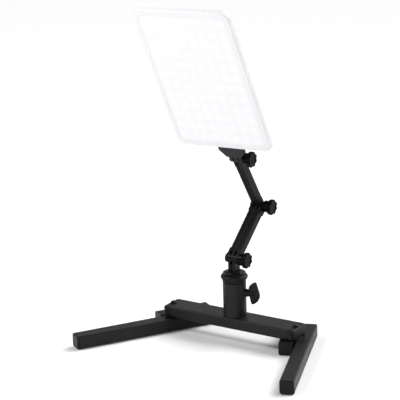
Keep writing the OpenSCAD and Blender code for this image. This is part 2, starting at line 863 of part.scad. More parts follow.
module dimmer_knob() {
  color("#161616") panel_frame() translate([dimmer_x, 0, control_z]) difference() {
    union() {
      rod_y(housing_back - 1.6, housing_back + 1, 2);
      rod_y(housing_back + 0.3, housing_back + 8, dimmer_d / 2);
    }
    for (i = [0 : 17]) rotate([0, i * 20, 0]) translate([dimmer_d / 2 + 0.4, 0, 0])
      rod_y(housing_back + 1.4, housing_back + 9, 0.9);
    translate([0, housing_back + 8, dimmer_d / 4]) cube([1, 1.2, dimmer_d / 2], center = true);
  }
}

// Frame of the rocker switch, open in the middle
module switch_body() {
  rim = 1.4;
  deep = 8;
  color("#161616") panel_frame() translate([switch_x, 0, control_z]) difference() {
    union() {
      plate(switch_w + 3, switch_h + 3, 1.5, housing_back, 1.2);
      plate(switch_w - 2 * SEAT, switch_h - 2 * SEAT, 1, housing_back - deep, deep + EPS);
    }
    plate(switch_w - 2 * rim, switch_h - 2 * rim, 0.5, housing_back - deep + 1.5, deep + 2);
    translate([0, housing_back - 1, 0]) rod_x(-switch_w / 2 + 0.5, switch_w / 2 - 0.5, 1.08);
  }
}

// Rocker on its own two pins, with a shallow V across its face
module switch_rocker() {
  half_h = switch_h / 2 - 1.4 - 0.35;
  half_l = switch_w / 2 - 1.4 - 0.3;
  color("#1d1d1d") panel_frame() translate([switch_x, housing_back - 1, control_z])
    rotate([rocker_rest, 0, 0]) {
      translate([-half_l, 0, 0]) rotate([90, 0, 90]) linear_extrude(2 * half_l) difference() {
        circle(half_h);
        translate([-20, -10]) square([20 - 2.6, 20]);
        translate([half_h + 0.6, 0]) circle(2.4);
      }
      rod_x(-switch_w / 2 + 0.8, switch_w / 2 - 0.8, 1);
    }
}

module dc_jack() {
  color("#161616") in_housing() difference() {
    translate([-jack_w / 2 + SEAT, jack_y, -housing_h / 2])
      cube([jack_w - 2 * SEAT, jack_h, jack_l]);
    translate([0, jack_y + jack_h / 2, -housing_h / 2 - 1]) cylinder(r = jack_bore_r, h = jack_l - 1);
  }
  color("#b8b8b8") in_housing()
    translate([0, jack_y + jack_h / 2, -housing_h / 2 + 2]) cylinder(r = 1, h = jack_l - 3);
}

// ---------- what is drawn ----------

base_beam();
beam_cap_left();
beam_cap_right();
left_leg() leg_hub();  // leg_hub_left
right_leg() leg_hub();  // leg_hub_right
left_leg() leg_tube();  // leg_tube_left
right_leg() leg_tube();  // leg_tube_right
left_leg() leg_cap();  // leg_cap_left
right_leg() leg_cap();  // leg_cap_right
left_leg() leg_pads();  // leg_pads_left
right_leg() leg_pads();  // leg_pads_right
left_leg() pivot_bolt();  // pivot_bolt_left
right_leg() pivot_bolt();  // pivot_bolt_right
left_leg() pivot_nut();  // pivot_nut_left
right_leg() pivot_nut();  // pivot_nut_right
pivot_washers();
socket_tube();
tube_plug();
tube_bolt();
tube_washer();
tube_collar();
clamp_boss();
clamp_screw();
clamp_knob();
swivel_post();
lower_arm();
upper_arm();
head_bracket();
translate(shoulder) thumb_knob();  // shoulder_knob
translate(elbow) thumb_knob();  // elbow_knob
translate(head) thumb_knob();  // head_knob
translate(shoulder) joint_screw();  // shoulder_screw
translate(elbow) joint_screw();  // elbow_screw
translate(head) joint_screw();  // head_screw
translate(shoulder) joint_washer();  // shoulder_washer
translate(elbow) joint_washer();  // elbow_washer
translate(head) joint_washer();  // head_washer
lower_frame() joint_nut();  // shoulder_nut
lower_frame() translate([0, lower_arm_l, 0]) joint_nut();  // elbow_nut
head_frame() joint_nut();  // head_nut
panel_bolt();
panel_bolt_washers();
panel_bolt_nut();
front_frame();
diffuser();
led_board();
led_array();
rear_shell();
shell_screws();
control_housing();
driver_board();
dimmer_pot();
dimmer_knob();
switch_body();
switch_rocker();
dc_jack();
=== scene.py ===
"""Looks of a table-top LED light panel on a folding arm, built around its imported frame.

Metres, +Z up, -Y to the front, origin on the table under the socket tube.
"""

import json
import logging
import math
from dataclasses import dataclass
from enum import Enum

import bmesh
import bpy
import numpy as np
from mathutils import Matrix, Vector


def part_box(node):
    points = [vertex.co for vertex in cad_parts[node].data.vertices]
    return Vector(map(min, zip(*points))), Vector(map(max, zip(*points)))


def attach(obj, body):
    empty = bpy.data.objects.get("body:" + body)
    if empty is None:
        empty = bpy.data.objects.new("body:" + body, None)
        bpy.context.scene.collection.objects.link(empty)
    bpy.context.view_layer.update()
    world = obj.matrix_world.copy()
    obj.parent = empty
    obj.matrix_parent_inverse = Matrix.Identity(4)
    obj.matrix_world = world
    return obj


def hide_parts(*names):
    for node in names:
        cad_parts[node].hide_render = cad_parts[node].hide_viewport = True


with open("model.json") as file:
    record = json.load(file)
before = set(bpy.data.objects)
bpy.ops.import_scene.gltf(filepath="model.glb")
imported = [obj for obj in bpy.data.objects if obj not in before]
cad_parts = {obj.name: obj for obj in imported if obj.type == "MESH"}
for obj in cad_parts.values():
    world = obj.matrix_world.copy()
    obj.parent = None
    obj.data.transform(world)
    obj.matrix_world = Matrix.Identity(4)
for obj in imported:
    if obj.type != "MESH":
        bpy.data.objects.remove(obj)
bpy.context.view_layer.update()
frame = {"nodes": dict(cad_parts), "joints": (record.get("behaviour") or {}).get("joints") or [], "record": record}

LOG = logging.getLogger("light_panel")
MM = 0.001
JOINTS = {row["name"]: row for row in frame["joints"]}
SLOT_OF = {row["node"]: row["material_slot"] for row in frame["record"]["subparts"]}
BODY_OF = {
    node: body
    for body, nodes in frame["record"]["behaviour"]["bodies"].items()
    for node in nodes
}


# ---------- colour, nodes and finishes ----------


def linear(hex_code: str) -> tuple[float, float, float, float]:
    """Turns an sRGB hex colour into linear RGBA.

    Args:
        hex_code: Six hex digits with a leading #.

    Returns:
        Linear red, green, blue and an alpha of 1.
    """
    srgb = np.array([int(hex_code[i : i + 2], 16) for i in (1, 3, 5)]) / 255
    low, high = srgb / 12.92, ((srgb + 0.055) / 1.055) ** 2.4
    red, green, blue = np.where(srgb <= 0.04045, low, high)
    return float(red), float(green), float(blue), 1.0


def add_node(
    tree: bpy.types.NodeTree,
    kind: str,
    settings: dict | None = None,
    links: dict | None = None,
) -> bpy.types.Node:
    """Adds one node with its settings and its links.

    Args:
        tree: Node tree that the node joins.
        kind: Blender's name for the kind of node.
        settings: Lower-case keys are properties; others name or number input sockets.
        links: Output sockets by the input that each one feeds.

    Returns:
        The new node.
    """
    node = tree.nodes.new(kind)
    for key, value in (settings or {}).items():
        if isinstance(key, str) and key[0].islower():
            setattr(node, key, value)
        else:
            node.inputs[key].default_value = value
    for key, source in (links or {}).items():
        tree.links.new(source, node.inputs[key])
    return node


class Grain(Enum):
    """How a surface was made, which sets the pattern of its relief."""

    SPARKED = "moulded against a spark-eroded steel"
    PEEL = "sprayed and baked, with a soft orange peel"
    POLISHED = "moulded against polished steel"
    DRAWN = "drawn or rolled, with lines one way"


@dataclass(frozen=True)
class Finish:
    """One finish: what it is made of, its colours and the relief that its making left.

    Sizes are real ones in millimetres; a relief finer than about 1 mm would vanish at the
    distance the object is seen from, so it is drawn coarser than the real grit.
    """

    name: str
    slot: str
    base: str
    tone: str
    roughness: float
    spread: float
    grain: Grain
    grain_mm: float
    relief_mm: float
    metallic: float = 0.0
    coat: float = 0.0
    specular: float = 0.5

    def relief(self, tree: bpy.types.NodeTree, place: bpy.types.NodeSocket) -> bpy.types.NodeSocket:
        """Height of the grain, 0 to 1.

        Args:
            tree: The material's node tree.
            place: Object coordinates in metres.

        Returns:
            The socket that carries the height.
        """
        scale = 1 / (self.grain_mm * MM)
        if self.grain is Grain.PEEL:
            cells = add_node(
                tree,
                "ShaderNodeTexVoronoi",
                {"feature": "SMOOTH_F1", "Scale": scale, "Smoothness": 1.0, "Randomness": 1.0},
                {"Vector": place},
            )
            return cells.outputs["Distance"]
        if self.grain is Grain.DRAWN:
            along = add_node(
                tree, "ShaderNodeMapping", {"Scale": (1.0, 1.0, 0.08)}, {"Vector": place}
            )
            place = along.outputs["Vector"]
        detail = 1.0 if self.grain is Grain.POLISHED else 4.0
        noise = add_node(
            tree,
            "ShaderNodeTexNoise",
            {"Scale": scale, "Detail": detail, "Roughness": 0.55},
            {"Vector": place},
        )
        return noise.outputs["Fac"]

    def colour(self, tree: bpy.types.NodeTree, place: bpy.types.NodeSocket) -> bpy.types.NodeSocket:
        """The base colour with its tone laid over in soft clouds of 35 mm.

        Args:
            tree: The material's node tree.
            place: Object coordinates in metres.

        Returns:
            The socket that carries the colour.
        """
        clouds = add_node(
            tree,
            "ShaderNodeTexNoise",
            {"Scale": 1 / (35 * MM), "Detail": 3.0, "Roughness": 0.6},
            {"Vector": place},
        )
        mixed = add_node(
            tree,
            "ShaderNodeMix",
            {"data_type": "RGBA", 6: linear(self.base), 7: linear(self.tone)},
            {0: clouds.outputs["Fac"]},
        )
        return mixed.outputs[2]

    def shine(self, tree: bpy.types.NodeTree, place: bpy.types.NodeSocket) -> bpy.types.NodeSocket:
        """Roughness that wanders by the finish's spread, as handling leaves it.

        Args:
            tree: The material's node tree.
            place: Object coordinates in metres.

        Returns:
            The socket that carries the roughness.
        """
        smears = add_node(
            tree,
            "ShaderNodeTexNoise",
            {"Scale": 1 / (9 * MM), "Detail": 5.0, "Distortion": 0.6},
            {"Vector": place},
        )
        spread = add_node(
            tree,
            "ShaderNodeMapRange",
            {
                "From Min": 0.3,
                "From Max": 0.7,
                "To Min": self.roughness - self.spread,
                "To Max": self.roughness + self.spread,
            },
            {"Value": smears.outputs["Fac"]},
        )
        return spread.outputs["Result"]

    def glow(self, tree: bpy.types.NodeTree, shader: bpy.types.Node) -> None:
        """Light that the surface gives off by itself; most finishes give none."""

    def build(self) -> bpy.types.Material:
        """Makes the material.

        Returns:
            A node-based material with this finish's name.
        """
        material = bpy.data.materials.new(self.name)
        material.use_nodes = True
        tree = material.node_tree
        tree.nodes.clear()
        place = add_node(tree, "ShaderNodeTexCoord").outputs["Object"]
        bump = add_node(
            tree,
            "ShaderNodeBump",
            {"Strength": 1.0, "Distance": self.relief_mm * MM},
            {"Height": self.relief(tree, place)},
        )
        shader = add_node(
            tree,
            "ShaderNodeBsdfPrincipled",
            {
                "Metallic": self.metallic,
                "IOR": 1.5,
                "Specular IOR Level": self.specular,
                "Coat Weight": self.coat,
                "Coat Roughness": 0.12,
            },
            {
                "Base Color": self.colour(tree, place),
                "Roughness": self.shine(tree, place),
                "Normal": bump.outputs["Normal"],
            },
        )
        self.glow(tree, shader)
        add_node(tree, "ShaderNodeOutputMaterial", links={"Surface": shader.outputs["BSDF"]})
        return material


@dataclass(frozen=True)
class OpalFinish(Finish):
    """Opal acrylic with rows of LEDs behind it, which show as faint round spots.

    The piece's UV map counts LEDs: a whole step of U or V is one pitch, and the middle of a
    cell is over an LED.
    """

    between: str = "#F8F8FA"
    over_led: str = "#FFFFFF"
    strength: float = 0.505

    def glow(self, tree: bpy.types.NodeTree, shader: bpy.types.Node) -> None:
        """Spots by distance from the middle of each UV cell.

        Args:
            tree: The material's node tree.
            shader: The shader whose emission is set.
        """
        cells = add_node(tree, "ShaderNodeUVMap", {"uv_map": "leds"})
        within = add_node(
            tree, "ShaderNodeVectorMath", {"operation": "FRACTION"}, {0: cells.outputs["UV"]}
        )
        away = add_node(
            tree,
            "ShaderNodeVectorMath",
            {"operation": "DISTANCE", 1: (0.5, 0.5, 0.0)},
            {0: within.outputs["Vector"]},
        )
        spot = add_node(
            tree,
            "ShaderNodeMapRange",
            {"interpolation_type": "SMOOTHSTEP", "From Min": 0.06, "From Max": 0.5,
             "To Min": 1.0, "To Max": 0.0},
            {"Value": away.outputs["Value"]},
        )
        light = add_node(
            tree,
            "ShaderNodeMix",
            {"data_type": "RGBA", 6: linear(self.between), 7: linear(self.over_led)},
            {0: spot.outputs["Result"]},
        )
        tree.links.new(light.outputs[2], shader.inputs["Emission Color"])
        shader.inputs["Emission Strength"].default_value = self.strength


FINISHES = {
    finish.name: finish
    for finish in (
        # Polyester powder on steel tube, sprayed and baked: black satin with an orange peel
        Finish("powder_coated_steel", "powder_coat", "#101111", "#181919", 0.42, 0.06,
               Grain.PEEL, 2.0, 0.10, specular=0.2),
        # ABS moulded in a spark-eroded tool: even dull black
        Finish("moulded_abs", "moulded_black", "#0E0E0E", "#141414", 0.44, 0.06,
               Grain.SPARKED, 1.6, 0.05, specular=0.16),
        # ABS from a polished tool: deep black with a sharp highlight
        Finish("polished_abs", "knob_black", "#050505", "#090909", 0.26, 0.07,
               Grain.POLISHED, 3.0, 0.12, specular=0.06),
        # Glass-filled nylon of the wing knob: its fibres leave it rough and matt
        Finish("fibre_nylon", "knob_black", "#0C0C0C", "#161616", 0.55, 0.08,
               Grain.SPARKED, 1.8, 0.16, specular=0.2),
        # Glass-filled nylon of the arm, finer: dark with a soft sheen along its edges
        Finish("arm_nylon", "arm_black", "#0B0C0C", "#111212", 0.34, 0.06,
               Grain.SPARKED, 1.6, 0.04, specular=0.1),
        # The same nylon coloured grey, for the head bracket
        Finish("bracket_nylon", "bracket_grey", "#1E2023", "#282A2D", 0.42, 0.06,
               Grain.SPARKED, 1.6, 0.05, specular=0.16),
        # Black-oxided steel: dark metal with a thin oiled film
        Finish("black_oxide_steel", "black_steel", "#202123", "#2B2C2E", 0.34, 0.06,
               Grain.POLISHED, 4.0, 0.03, metallic=1.0),
        # Zinc-plated steel: pale cool metal
        Finish("zinc_plated_steel", "zinc_steel", "#B4B8BC", "#C4C6C6", 0.3, 0.07,
               Grain.DRAWN, 1.2, 0.02, metallic=1.0),
        # Black nylon washers, punched from sheet
        Finish("washer_nylon", "nylon_washer", "#161616", "#1E1E1E", 0.42, 0.05,
               Grain.POLISHED, 5.0, 0.02),
        # Soft rubber of the pads: dull, takes no highlight
        Finish("pad_rubber", "rubber", "#0E0E0E", "#161616", 0.82, 0.06,
               Grain.SPARKED, 1.4, 0.1),
        # White ABS of the shells, from a lightly etched tool
        Finish("white_abs", "white_shell", "#DDDDDF", "#E0E0E2", 0.38, 0.05,
               Grain.SPARKED, 1.5, 0.02),
        # Opal acrylic, lit from behind
        OpalFinish("opal_acrylic", "opal", "#A2A2A4", "#A6A6A8", 0.42, 0.04,
                   Grain.POLISHED, 12.0, 0.01),
        # White solder mask over glass board
        Finish("white_mask_board", "board_white", "#E4E5DF", "#ECECE6", 0.4, 0.05,
               Grain.PEEL, 2.0, 0.02),
        # Phosphor over the LED chips
        Finish("led_phosphor", "led_phosphor", "#F1CB3E", "#F6DA68", 0.35, 0.05,
               Grain.POLISHED, 2.0, 0.02),
        # Green solder mask over glass board
        Finish("green_mask_board", "board_green", "#1D5A38", "#256A44", 0.35, 0.05,
               Grain.PEEL, 2.0, 0.02),
        # Moulded controls, a little glossier than the beam's caps
        Finish("control_abs", "control_black", "#141414", "#1B1B1B", 0.4, 0.06,
               Grain.SPARKED, 1.4, 0.04),
    )
}
FINISH_OF_SLOT = {
    "powder_coat": "powder_coated_steel",
    "moulded_black": "moulded_abs",
    "knob_black": "polished_abs",
    "arm_black": "arm_nylon",
    "bracket_grey": "bracket_nylon",
    "black_steel": "black_oxide_steel",
    "zinc_steel": "zinc_plated_steel",
    "nylon_washer": "washer_nylon",
    "rubber": "pad_rubber",
    "white_shell": "white_abs",
    "opal": "opal_acrylic",
    "board_white": "white_mask_board",
    "led_phosphor": "led_phosphor",
    "board_green": "green_mask_board",
    "control_black": "control_abs",
}


class Paintshop:
    """Makes each finish once and hands it out by name."""

    def __init__(self) -> None:
        """Starts with nothing mixed."""
        self.mixed: dict[str, bpy.types.Material] = {}

    def get(self, name: str) -> bpy.types.Material:
        """The material of a finish, made the first time that it is asked for.

        Args:
            name: A key of FINISHES.

        Returns:
            The material.
        """
        if name not in self.mixed:
            self.mixed[name] = FINISHES[name].build()
        return self.mixed[name]


# ---------- surfaces worked out as arrays ----------


def unit(vector: np.ndarray) -> np.ndarray:
    """The same direction with a length of one."""
    return np.asarray(vector, float) / np.linalg.norm(vector)


@dataclass(frozen=True)
class Seat:
    """Where a sub-assembly sits: its origin, and its own three axes as rows."""

    origin: np.ndarray
    axes: np.ndarray

    @classmethod
    def facing(cls, origin: np.ndarray, x: np.ndarray, y: np.ndarray) -> "Seat":
        """A seat from two of its axes.

        Args:
            origin: Point in the row frame, in metres.
            x: Direction of the first axis.
            y: Direction of the second axis, at a right angle to the first.

        Returns:
            The seat, whose third axis is their cross product.
        """
        x, y = unit(x), unit(y)
        return cls(np.asarray(origin, float), np.array([x, y, np.cross(x, y)]))

    @classmethod
    def on_axis(cls, origin: np.ndarray, axis: np.ndarray) -> "Seat":
        """A seat whose third axis is the given one, for turned pieces.

        Args:
            origin: Point in the row frame, in metres.
            axis: Direction of the third axis.

        Returns:
            The seat.
        """
        z = unit(axis)
        helper = np.array([0.0, 0.0, 1.0]) if abs(z[2]) < 0.9 else np.array([1.0, 0.0, 0.0])
        x = unit(np.cross(helper, z))
        return cls(np.asarray(origin, float), np.array([x, np.cross(z, x), z]))

    def place(self, local_mm: np.ndarray) -> np.ndarray:
        """Points given in this seat's millimetres, in the row frame's metres."""
        return self.origin + (local_mm * MM) @ self.axes


def eased(corners: np.ndarray, cuts: np.ndarray, closed: bool, steps: int = 6) -> np.ndarray:
    """A line through corners, each rounded by a parabola that starts one cut before it.

    With p the corner and a, b the points one cut away from it on either side, the curve is
    (1 - t)^2 a + 2 t (1 - t) p + t^2 b for t from 0 to 1.

    Args:
        corners: Corner points, one row each.
        cuts: Length cut off either side of each corner.
        closed: Whether the last corner joins the first; an open line keeps its ends sharp.
        steps: Points along each parabola.

    Returns:
        The points of the line, one row each.
    """
    corners, cuts = np.asarray(corners, float), np.asarray(cuts, float).copy()
    before, after = np.roll(corners, 1, 0) - corners, np.roll(corners, -1, 0) - corners
    if not closed:
        cuts[[0, -1]] = 0
    reach = np.maximum(cuts, 1e-4)[:, None]
    start = corners + before / np.linalg.norm(before, axis=1, keepdims=True) * reach
    end = corners + after / np.linalg.norm(after, axis=1, keepdims=True) * reach
    t = np.linspace(0, 1, steps)[None, :, None]
    curve = (1 - t) ** 2 * start[:, None] + 2 * t * (1 - t) * corners[:, None] + t**2 * end[:, None]
    if not closed:
        curve[0], curve[-1] = corners[0], corners[-1]
    return curve.reshape(-1, corners.shape[1])


def turned(profile: np.ndarray, around: int) -> np.ndarray:
    """A profile carried round the third axis: (r cos a, r sin a, h) for a full turn of a.

    Args:
        profile: Radius and height in millimetres, one row each.
        around: Points in one turn.

    Returns:
        A grid of points, profile by turn.
    """
    angle = np.linspace(0, 2 * np.pi, around, endpoint=False)
    radius, height = profile[:, 0, None], profile[:, 1, None]
    return np.stack(
        [radius * np.cos(angle), radius * np.sin(angle), height + 0 * angle], axis=-1
    )


def rounded_outline(
    half_w: np.ndarray, half_h: np.ndarray, radius: np.ndarray, steps: int = 12
) -> np.ndarray:
    """Rounded rectangles: each corner's centre plus its radius times (cos a, sin a).

    Args:
        half_w: Half widths, one for each ring.
        half_h: Half heights, one for each ring.
        radius: Corner radii, one for each ring.
        steps: Points in each quarter turn.

    Returns:
        A grid of flat points, ring by corner point.
    """
    quarter = np.linspace(0, np.pi / 2, steps)
    turn = (quarter + np.arange(4)[:, None] * np.pi / 2).ravel()
    side_x = np.repeat([1, -1, -1, 1], steps)
    side_z = np.repeat([1, 1, -1, -1], steps)
    w, h, r = (np.asarray(value, float)[:, None] for value in (half_w, half_h, radius))
    return np.stack(
        [side_x * (w - r) + r * np.cos(turn), side_z * (h - r) + r * np.sin(turn)], axis=-1
    )


def grid_faces(rows: int, cols: int, wrap_rows: bool) -> np.ndarray:
    """Quads of a grid whose columns close on themselves.

    Args:
        rows: Number of rows.
        cols: Number of columns.
        wrap_rows: Whether the last row joins the first too.

    Returns:
        Four point numbers for each quad.
    """
    last = rows if wrap_rows else rows - 1
    row, col = np.meshgrid(np.arange(last), np.arange(cols), indexing="ij")
    up, right = (row + 1) % rows, (col + 1) % cols
    corners = [row * cols + col, row * cols + right, up * cols + right, up * cols + col]
    return np.stack(corners, axis=-1).reshape(-1, 4)


def form(name: str, grids: list[np.ndarray], wrap_rows: bool = False) -> bpy.types.Object:
    """A mesh from closed grids, with its ends capped and its faces turned outwards.

    Args:
        name: Name of the piece.
        grids: Grids of points in the row frame, in metres; each becomes one closed shell.
        wrap_rows: Whether each grid's last row joins its first, so that it needs no caps.

    Returns:
        The new object, at the origin.
    """
    points, faces, base = [], [], 0
    for grid in grids:
        rows, cols = grid.shape[:2]
        points.append(grid.reshape(-1, 3))
        faces += (grid_faces(rows, cols, wrap_rows) + base).tolist()
        if not wrap_rows:
            faces.append((base + np.arange(cols)[::-1]).tolist())
            faces.append((base + (rows - 1) * cols + np.arange(cols)).tolist())
        base += rows * cols
    mesh = bpy.data.meshes.new(name)
    mesh.from_pydata(np.concatenate(points).tolist(), [], faces)
    return finished(name, mesh, merge=1e-7)


def finished(name: str, mesh: bpy.types.Mesh, merge: float) -> bpy.types.Object:
    """Merges a mesh's doubles, turns its faces outwards and shades it smooth.

    Args:
        name: Name of the piece.
        mesh: The mesh to tidy.
        merge: Distance in metres within which points become one.

    Returns:
        The object that holds it, linked to the scene.
    """
    work = bmesh.new()
    work.from_mesh(mesh)
    bmesh.ops.remove_doubles(work, verts=work.verts, dist=merge)
    bmesh.ops.recalc_face_normals(work, faces=work.faces)
    work.to_mesh(mesh)
    work.free()
    mesh.polygons.foreach_set("use_smooth", np.ones(len(mesh.polygons), bool))
    piece = bpy.data.objects.new(name, mesh)
    bpy.context.scene.collection.objects.link(piece)
    return piece


def flats_stay_flat(piece: bpy.types.Object) -> None:
    """Weights the normals by face area, so that large flats show no false shading."""
    weighted = piece.modifiers.new("flats", "WEIGHTED_NORMAL")
    weighted.weight = 80


class Fitter:
    """Dresses each piece and fixes it to its body, in place of the nodes it stands for."""

    def __init__(self, paint: Paintshop) -> None:
        """Keeps the shop that mixes the finishes."""
        self.paint = paint

    def fit(self, piece: bpy.types.Object, nodes: list[str], finish: str | None = None) -> None:
        """Gives a piece its finish and body, and hides the nodes that it replaces.

        Args:
            piece: The new piece.
            nodes: CAD nodes that it stands for, all on one body and slot.
            finish: A finish other than the slot's own.
        """
        slot = SLOT_OF[nodes[0]]
        piece.data.materials.clear()
        piece.data.materials.append(self.paint.get(finish or FINISH_OF_SLOT[slot]))
        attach(piece, BODY_OF[nodes[0]])
        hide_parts(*nodes)
        LOG.info("%s rides on %s", piece.name, BODY_OF[nodes[0]])

    def ease(
        self, node: str, ease_mm: float, limit_deg: float = 32.0, finish: str | None = None
    ) -> None:
        """Stands a copy of a node, with its edges broken by a small round, in its place.

        Args:
            node: The CAD node to copy.
            ease_mm: Width of the round on its edges.
            limit_deg: Edges that turn less than this stay as they are.
            finish: A finish other than the slot's own.
        """
        mesh = frame["nodes"][node].data.copy()
        work = bmesh.new()
        work.from_mesh(mesh)
        bmesh.ops.remove_doubles(work, verts=work.verts, dist=2e-6)
        bmesh.ops.dissolve_limit(
            work, angle_limit=math.radians(0.4), verts=work.verts, edges=work.edges
        )
        work.to_mesh(mesh)
        work.free()
        mesh.polygons.foreach_set("use_smooth", np.ones(len(mesh.polygons), bool))
        piece = bpy.data.objects.new(f"{node}_eased", mesh)
        bpy.context.scene.collection.objects.link(piece)
        bevel = piece.modifiers.new("broken_edges", "BEVEL")
        bevel.width = ease_mm * MM
        bevel.segments = 2
        bevel.limit_method = "ANGLE"
        bevel.angle_limit = math.radians(limit_deg)
        flats_stay_flat(piece)
        self.fit(piece, [node], finish)

    def keep(self, node: str) -> None:
        """Leaves a CAD node as it is and gives it its finish.

        Args:
            node: The CAD node.
        """
        node_object = frame["nodes"][node]
        for material_slot in node_object.material_slots:
            material_slot.material = self.paint.get(FINISH_OF_SLOT[SLOT_OF[node]])
        LOG.info("%s stays as it is", node)


def joint_at(name: str) -> np.ndarray:
    """A joint's point in the row frame, in metres."""
    return np.array(JOINTS[name]["pos_m"], float)


def joint_axis(name: str) -> np.ndarray:
    """A joint's direction in the row frame."""
    return unit(np.array(JOINTS[name]["axis"], float))


# ---------- sub-assemblies ----------


@dataclass
class BaseBeam:
    """The beam with its two end caps."""

    cap_l: float = 12.0
    corner_cut: float = 5.0
    edge_r: float = 2.6
    rows: int = 9

    def cap_grid(self, node: str, side: int) -> np.ndarray:
        """An end cap as outlines stacked up its height, drawn in at top and bottom.

        The inset at angle a of the edge round is r (1 - cos a), at height r sin a.

        Args:
            node: The CAD cap, whose box gives the size.
            side: 1 for the cap at the right end, -1 for the left.

        Returns:
            A grid of points in metres, height by outline.
        """
        low, high = (np.array(corner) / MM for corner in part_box(node))
        outer = high[0] if side > 0 else low[0]
        inner = outer - side * self.cap_l
        angle = np.linspace(0, np.pi / 2, self.rows)
        inset = self.edge_r * (1 - np.sin(angle))
        rise = self.edge_r * (1 - np.cos(angle))
        insets = np.concatenate([inset, inset[::-1]])
        heights = np.concatenate([low[2] + rise, high[2] - rise[::-1]])
        rings = []
        for drawn_in in insets:
            end, half = outer - side * drawn_in, high[1] - drawn_in
            cut = self.corner_cut - 0.4 * drawn_in
            corners = [[inner, -half], [end, -half], [end, half], [inner, half]]
            rings.append(eased(corners, [0.05, cut, cut, 0.05], closed=True, steps=8))
        flat = np.array(rings)
        stack = np.broadcast_to(heights[:, None, None], (*flat.shape[:2], 1))
        return np.concatenate([flat, stack], axis=-1) * MM

    def build(self, fitter: Fitter) -> None:
        """Makes the beam and its caps.

        Args:
            fitter: Dresses each piece and fixes it to its body.
        """
        fitter.ease("base_beam", 0.3)
        for node, side in (("beam_cap_left", -1), ("beam_cap_right", 1)):
            piece = form(f"{node}_moulding", [self.cap_grid(node, side)])
            flats_stay_flat(piece)
            fitter.fit(piece, [node])


@dataclass
class FoldingLeg:
    """One leg: hub, tube, front cap, pads and pivot bolt."""

    side: str
    angle_deg: float
    reach: float = 171.0
    cap_l: float = 4.0
    cap_round: float = 1.8
    rail_w: float = 21.5
    rail_h: float = 21.0
    rail_side: float = 12.7
    pad_t: float = 1.0
    pad_r: float = 6.5
    heel: float = 59.0
    stub_heel: float = 64.0
    beam_top: float = 39.1

    def seat(self) -> Seat:
        """The leg's own frame on the table: first axis forward along the leg."""
        pivot = joint_at(f"{self.side}_leg_fold") * np.array([1, 1, 0])
        a = math.radians(self.angle_deg)
        return Seat.facing(pivot, [math.cos(a), math.sin(a), 0], [-math.sin(a), math.cos(a), 0])

    def cap_grid(self) -> np.ndarray:
        """The front cap as upright outlines that draw in over its front edge.

        Returns:
            A grid of leg-frame points in millimetres, depth by outline.
        """
        angle = np.linspace(0, np.pi / 2, 7)
        inset = np.concatenate([[0], self.cap_round * (1 - np.cos(angle))])
        rounding = self.reach - self.cap_round * (1 - np.sin(angle))
        depth = np.concatenate([[self.reach - self.cap_l + 0.05], rounding])
        ring = rounded_outline(
            self.rail_w / 2 - inset, self.rail_h / 2 - inset, 2.8 - 0.6 * inset, steps=7
        )
        x = np.broadcast_to(depth[:, None, None], (*ring.shape[:2], 1))
        middle = np.array([0, self.rail_side, self.pad_t + self.rail_h / 2])
        return np.concatenate([x, ring], axis=-1) + middle

    def pad_grids(self) -> list[np.ndarray]:
        """The three rubber pads, turned discs with a soft lower edge.

        Returns:
            One leg-frame grid in millimetres for each pad.
        """
        corners = [[0, 0], [self.pad_r, 0], [self.pad_r, self.pad_t], [0, self.pad_t]]
        disc = turned(eased(corners, [0, 0.4, 0.15, 0], closed=False), 40)
        places = [
            [14 - self.heel, self.rail_side, 0],
            [14 - self.stub_heel, -self.rail_side, 0],
            [self.reach - 20, self.rail_side, 0],
        ]
        return [disc + np.array(place) for place in places]

    def bolt_grid(self) -> np.ndarray:
        """The pivot bolt: a low dome on a short cylinder, over a plain shank.

        Returns:
            A grid of leg-frame points in millimetres.
        """
        angle = np.linspace(0, 1, 12) * np.pi / 2
        dome = np.stack([4.5 * np.cos(angle), 1.0 + 2.4 * np.sin(angle)], -1)
        foot = [[0, 3 - self.beam_top], [3, 3 - self.beam_top], [3, 0], [4.6, 0], [4.6, 0.9]]
        profile = np.concatenate([foot, dome]) + np.array([0, self.beam_top])
        return turned(profile, 48)

    def build(self, fitter: Fitter) -> None:
        """Makes the leg's pieces.

        Args:
            fitter: Dresses each piece and fixes it to its body.
        """
        seat = self.seat()
        fitter.ease(f"leg_hub_{self.side}", 0.5)
        fitter.ease(f"leg_tube_{self.side}", 0.3)
        fitter.ease(f"pivot_nut_{self.side}", 0.3)
        cap = form(f"leg_cap_{self.side}_moulding", [seat.place(self.cap_grid())])
        flats_stay_flat(cap)
        fitter.fit(cap, [f"leg_cap_{self.side}"])
        pads = form(f"leg_pads_{self.side}_discs", [seat.place(g) for g in self.pad_grids()])
        fitter.fit(pads, [f"leg_pads_{self.side}"])
        bolt = form(f"pivot_bolt_{self.side}_domed", [seat.place(self.bolt_grid())])
        flats_stay_flat(bolt)
        fitter.fit(bolt, [f"pivot_bolt_{self.side}"])


